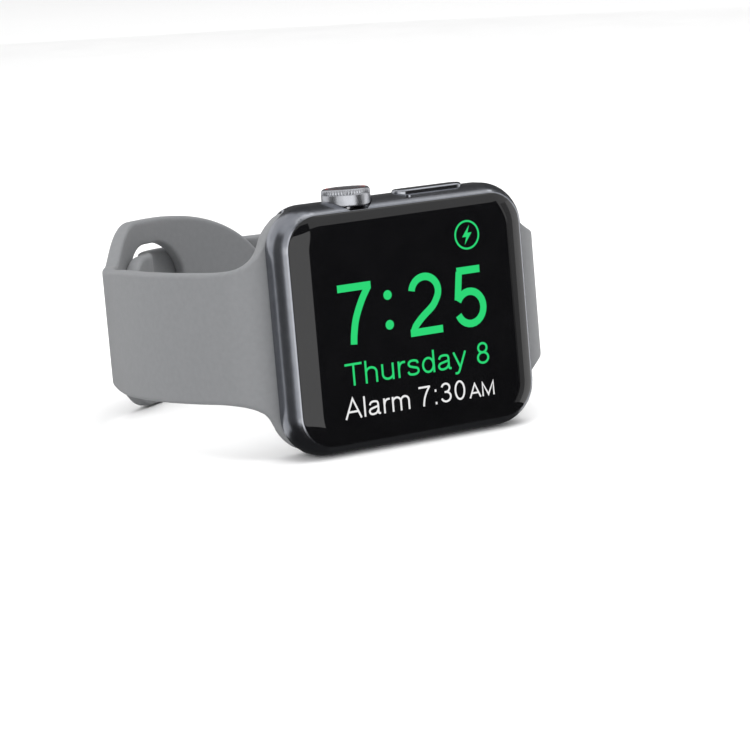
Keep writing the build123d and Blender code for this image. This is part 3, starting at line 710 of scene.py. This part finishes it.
def letters():
    """Strokes for each letter, with its width: capitals are 1 high and stand on 0."""
    low, high = THICK, 1 - THICK
    return {
        "7": (0.77, [[(0.04, high), (0.68, high)],
                     flow([(0.625, 0.92), (0.48, 0.7), (0.35, 0.42), (0.29, 0.17), (0.27, 0)])]),
        "2": (0.77, [oval((0.375, 0.7), (0.25, 0.24), 172, -28)
                     + flow([(0.596, 0.585), (0.5, 0.45), (0.3, 0.3), (0.16, 0.17), (0.11, 0.07)]),
                     [(0.05, low), (0.66, low)]]),
        "5": (0.77, [[(0.145, high), (0.61, high)], [(0.19, 0.93), (0.125, 0.47)],
                     oval((0.365, 0.325), (0.265, 0.265), 152, -158)]),
        "3": (0.77, [oval((0.37, 0.735), (0.22, 0.205), 165, -90),
                     oval((0.37, 0.295), (0.255, 0.235), 90, -165), [(0.3, 0.53), (0.38, 0.53)]]),
        "0": (0.77, [oval((0.385, 0.5), (0.25, 0.44), 0, 360, 40)]),
        "8": (0.77, [oval((0.385, 0.735), (0.205, 0.205), 0, 360, 34),
                     oval((0.385, 0.295), (0.25, 0.235), 0, 360, 34)]),
        ":": (0.39, [[(0.195, 0.62), (0.195, 0.74)], [(0.195, 0), (0.195, 0.12)]]),
        "T": (0.85, [[(0.03, high), (0.82, high)], [(0.425, high), (0.425, 0)]]),
        "A": (0.93, [[(0.05, 0), (0.465, 0.98), (0.88, 0)], [(0.19, 0.34), (0.74, 0.34)]]),
        "M": (1.16, [[(0.15, 0), (0.15, 0.97), (0.58, 0.08), (1.01, 0.97), (1.01, 0)]]),
        "l": (0.31, [[(0.155, 0), (0.155, 1)]]),
        "h": (0.77, [[(0.14, 0), (0.14, 1)], arch(0.14, 0.63)]),
        "m": (1.16, [[(0.14, 0), (0.14, 0.73)], arch(0.14, 0.58), arch(0.58, 1.02)]),
        "r": (0.47, [[(0.14, 0), (0.14, 0.73)],
                     flow([(0.14, 0.4), (0.2, 0.58), (0.31, 0.665), (0.45, 0.67)])]),
        "u": (0.77, [[(0.63, 0.73), (0.63, 0)],
                     [(0.14, 0.73)] + oval((0.385, 0.275), (0.245, 0.22), 180, 360)]),
        "s": (0.7, [flow([(0.575, 0.53), (0.53, 0.63), (0.36, 0.675), (0.2, 0.64), (0.14, 0.535),
                          (0.2, 0.435), (0.36, 0.375), (0.53, 0.32), (0.59, 0.2), (0.52, 0.09),
                          (0.35, 0.055), (0.17, 0.09), (0.1, 0.2)])]),
        "d": (0.77, [[(0.63, 0), (0.63, 1)], oval((0.365, 0.365), (0.25, 0.31), 0, 360, 34)]),
        "a": (0.77, [flow([(0.12, 0.52), (0.2, 0.64), (0.36, 0.675), (0.53, 0.64), (0.575, 0.53)])
                     + [(0.575, 0.15)] + flow([(0.575, 0.15), (0.6, 0.07), (0.69, 0.06)]),
                     flow([(0.575, 0.42), (0.36, 0.375), (0.15, 0.31), (0.1, 0.19), (0.17, 0.085),
                           (0.32, 0.06), (0.48, 0.12), (0.575, 0.26)])]),
        "y": (0.7, [[(0.06, 0.73), (0.35, 0.03)],
                    [(0.63, 0.73), (0.35, 0.03)]
                    + flow([(0.35, 0.03), (0.28, -0.14), (0.2, -0.215), (0.09, -0.21)])]),
        " ": (0.39, []),
    }


LETTERS = letters()


def sides(points, half):
    """Both edges of a stroke along a line, mitred at its corners."""
    closed = math.dist(points[0], points[-1]) < 1e-6
    out = []
    for i, (x, z) in enumerate(points):
        before = points[i - 1] if i > 0 else (points[-2] if closed else None)
        after = points[i + 1] if i + 1 < len(points) else (points[1] if closed else None)
        normals = []
        for a, b in ((before, (x, z)), ((x, z), after)):
            if a and b and math.dist(a, b) > 1e-9:
                length = math.dist(a, b)
                normals.append(Vector((-(b[1] - a[1]) / length, (b[0] - a[0]) / length)))
        normal = sum(normals, Vector((0, 0))).normalized()
        reach = min(half / max(normal.dot(normals[0]), MITRE_LOWEST), MITRE_LONGEST * half)
        aside, along = normal.x * reach, normal.y * reach
        out.append(((x + aside, z + along), (x - aside, z - along)))
    return out


def sheet_piece(name, shapes, material):
    """Thin lit shapes in the display's plane. A shape is a list of (one side, other side) points."""
    vertices, faces = [], []
    for number, pairs in enumerate(shapes):
        first = len(vertices)
        front = PICTURE_Y - LAYER * (number % 3)
        for one, other in pairs:
            vertices += [place(one[0], front, one[1]), place(other[0], front, other[1]),
                         place(other[0], PICTURE_BACK_Y, other[1]), place(one[0], PICTURE_BACK_Y, one[1])]
        for i in range(len(pairs) - 1):
            a = first + 4 * i
            faces += [(a + k, a + (k + 1) % 4, a + 4 + (k + 1) % 4, a + 4 + k) for k in range(4)]
        last = first + 4 * (len(pairs) - 1)
        faces += [(first, first + 1, first + 2, first + 3), (last, last + 1, last + 2, last + 3)]
    return new_piece(name, vertices, faces, material, "case")


def lettering(name, text, left, right, base, cap, stroke, material):
    """A line of text between two sides, on a baseline, with capitals cap high."""
    pen, strokes = 0.0, []
    for letter in text:
        width, shapes = LETTERS[letter]
        strokes += [[(pen + x, z) for x, z in shape] for shape in shapes]
        pen += width
    xs = [x for shape in strokes for x, _ in shape]
    half = stroke / 2
    wide = (right - left - stroke) / (max(xs) - min(xs))
    shapes = [sides([(left + half + (x - min(xs)) * wide, base + z * cap) for x, z in shape], half)
              for shape in strokes]
    sheet_piece(name, shapes, material)


def dot(centre, radius, count=32):
    """A disc as pairs of points, from its left to its right."""
    x, z = centre
    steps = [math.pi * i / count for i in range(1, count)]
    return [((x - radius * math.cos(a), z + radius * math.sin(a)),
             (x - radius * math.cos(a), z - radius * math.sin(a))) for a in steps]


def make_picture():
    """What the display shows. Each line is placed by its sides, baseline and height of its capitals."""
    green = glowing("picture_green", (0.024, 0.67, 0.18), 1.0)
    white = glowing("picture_white", (0.83, 0.83, 0.83), 1.0)
    stroke = 1.09
    lettering("time_hour", "7", -13.45, -6.75, -2.31, 8.75, stroke, green)
    lettering("time_tens", "2", -1.75, 4.9, -2.56, 9.06, stroke, green)
    lettering("time_units", "5", 6.7, 12.2, -2.5, 9.0, stroke, green)
    sheet_piece("time_colon", [dot((-4.6, 4.06), 0.7), dot((-4.65, -0.28), 0.7)], green)
    lettering("date_line", "Thursday 8", -12.95, 11.95, -8.2, 3.3, 0.33, green)
    lettering("alarm_line", "Alarm 7:30", -13.4, 7.3, -12.95, 2.98, 0.29, white)
    lettering("alarm_half_day", "AM", 7.95, 12.4, -12.95, 2.1, 0.25, white)
    make_charge_icon(green)


def make_charge_icon(material):
    """A lightning bolt in a ring."""
    x, z = 9.78, 11.11
    radius, half_line = 2.02, 0.14
    ring = sides(oval((x, z), (radius, radius), 0, 360, 60), half_line)
    upper = [((0.5, 1.4), (0.5, 1.4)), ((-0.85, -0.28), (0.06, 0.08)), ((-0.1, -0.3), (0.1, 0.1))]
    shapes = [ring]
    for sign in (1, -1):
        turned = [[(x + sign * p[0], z + sign * p[1]) for p in pair] for pair in upper]
        shapes.append(turned)
    sheet_piece("charge_icon", shapes, material)


# ---- stage, lights, camera -----------------------------------------------------------------------

def make_floor():
    """A wide pale floor."""
    far, around = 12.0, 48
    points = [(far * math.cos(math.tau * i / around), far * math.sin(math.tau * i / around), 0)
              for i in range(around)]
    faces = [tuple(range(around))]
    floor = new_piece("floor", points, faces, floor_material())
    floor.visible_glossy = False


def floor_material():
    """Matt pale paint."""
    return surface("floor_paint", (0.86, 0.86, 0.86), (0.88, 0.88, 0.88), 40, (0.6, 0.7), depth=0.01)


def card(name, turns, rises, brightness):
    """A studio card that only reflections see: part of a sphere round the watch. turns go from the
    glass's side towards the short strap, rises go up from level; both are pairs, in degrees."""
    material = bpy.data.materials.new(name)
    tree, shader = nodes_of(material)
    shader.inputs["Base Color"].default_value = (0, 0, 0, 1)
    shader.inputs["Roughness"].default_value = 1.0
    shader.inputs["Specular IOR Level"].default_value = 0.0
    shader.inputs["Emission Color"].default_value = (1, 1, 1, 1)
    shader.inputs["Emission Strength"].default_value = brightness
    steps, far = 16, 900.0
    points = []
    for i in range(steps + 1):
        rise = math.radians(rises[0] + (rises[1] - rises[0]) * i / steps)
        for j in range(steps + 1):
            turn = math.radians(turns[0] + (turns[1] - turns[0]) * j / steps)
            level = far * math.cos(rise)
            points.append(place(-level * math.sin(turn), -level * math.cos(turn), far * math.sin(rise)))
    row = steps + 1
    faces = [(row * i + j, row * i + j + 1, row * (i + 1) + j + 1, row * (i + 1) + j)
             for i in range(steps) for j in range(steps)]
    panel = new_piece(name, points, faces, material)
    for flag in ("visible_camera", "visible_diffuse", "visible_shadow"):
        setattr(panel, flag, False)


def area_light(name, centre, target, size, power):
    """A soft light aimed at a target, which reflections don't see."""
    light = bpy.data.lights.new(name, "AREA")
    light.shape = "RECTANGLE"
    light.size, light.size_y = size
    light.energy = power
    holder = bpy.data.objects.new(name, light)
    holder.location = centre
    holder.rotation_euler = (Vector(target) - Vector(centre)).to_track_quat("-Z", "Y").to_euler()
    holder.visible_glossy = False
    bpy.context.scene.collection.objects.link(holder)


def make_world():
    """Pale above the horizon and dark below it, where reflections would see a black table."""
    world = bpy.data.worlds.new("studio")
    bpy.context.scene.world = world
    world.use_nodes = True
    tree = world.node_tree
    where = tree.nodes.new("ShaderNodeTexCoord")
    split = tree.nodes.new("ShaderNodeSeparateXYZ")
    height = tree.nodes.new("ShaderNodeMapRange")
    height.inputs["From Min"].default_value = -0.12
    height.inputs["From Max"].default_value = 0.06
    height.inputs["To Min"].default_value = 0.04
    height.inputs["To Max"].default_value = 0.92
    tree.links.new(where.outputs["Generated"], split.inputs["Vector"])
    tree.links.new(split.outputs["Z"], height.inputs["Value"])
    tree.nodes["Background"].inputs["Color"].default_value = (1, 1, 1, 1)
    tree.links.new(height.outputs["Result"], tree.nodes["Background"].inputs["Strength"])


def make_camera():
    """From the short strap's side, a little above and slightly rolled, with a long lens."""
    yaw, pitch, roll = (math.radians(v) for v in (-30.62, 7.65, -4.94))
    distance, aside, above, lens = 422.5, 3.9, 8.49, 138.33
    back = Vector((math.sin(yaw) * math.cos(pitch), -math.cos(yaw) * math.cos(pitch), math.sin(pitch)))
    level = Vector((math.cos(yaw), math.sin(yaw), 0))
    upright = back.cross(level)
    right = level * math.cos(roll) + upright * math.sin(roll)
    up = upright * math.cos(roll) - level * math.sin(roll)
    spot = back * distance - right * aside - up * above
    turn = Matrix((right, up, back)).transposed().to_4x4()
    camera = bpy.data.objects.new("camera", bpy.data.cameras.new("camera"))
    camera.data.lens = lens
    camera.data.sensor_width = 36
    camera.data.clip_start = 0.01
    camera.matrix_world = WATCH @ Matrix.Translation(spot * MM) @ turn
    bpy.context.scene.collection.objects.link(camera)
    bpy.context.scene.camera = camera


make_camera()
finish_cad_nodes()
make_straps()
make_cover_glass()
make_crown()
make_picture()
make_floor()
make_world()
area_light("overhead", (0.1, -0.1, 0.9), (0, 0, 0.02), (0.8, 0.8), 8)
area_light("left_soft", (-0.9, -0.5, 0.5), (0, 0, 0.02), (0.5, 0.7), 5)
card("front_left_softbox", (-14, 40), (-24, 23), 1.6)
card("left_edge_softbox", (40, 75), (-24, 23), 1.15)
card("corner_flag", (-15, 30), (23, 38), 0.05)
card("front_right_flag", (-48, -15), (-60, 26), 0.03)
card("right_dim_card", (-66, -52), (-30, 20), 0.5)
card("right_softbox", (-125, -66), (-30, 20), 1.25)
card("left_flag", (77, 118), (-20, 40), 0.14)
card("left_rear_softbox", (120, 170), (-30, 30), 1.0)
card("top_softbox", (-85, -40), (43, 90), 1.6)
card("rear_top_flag", (-180, -95), (2, 75), 0.1)
bpy.context.scene.view_settings.view_transform = "Standard"
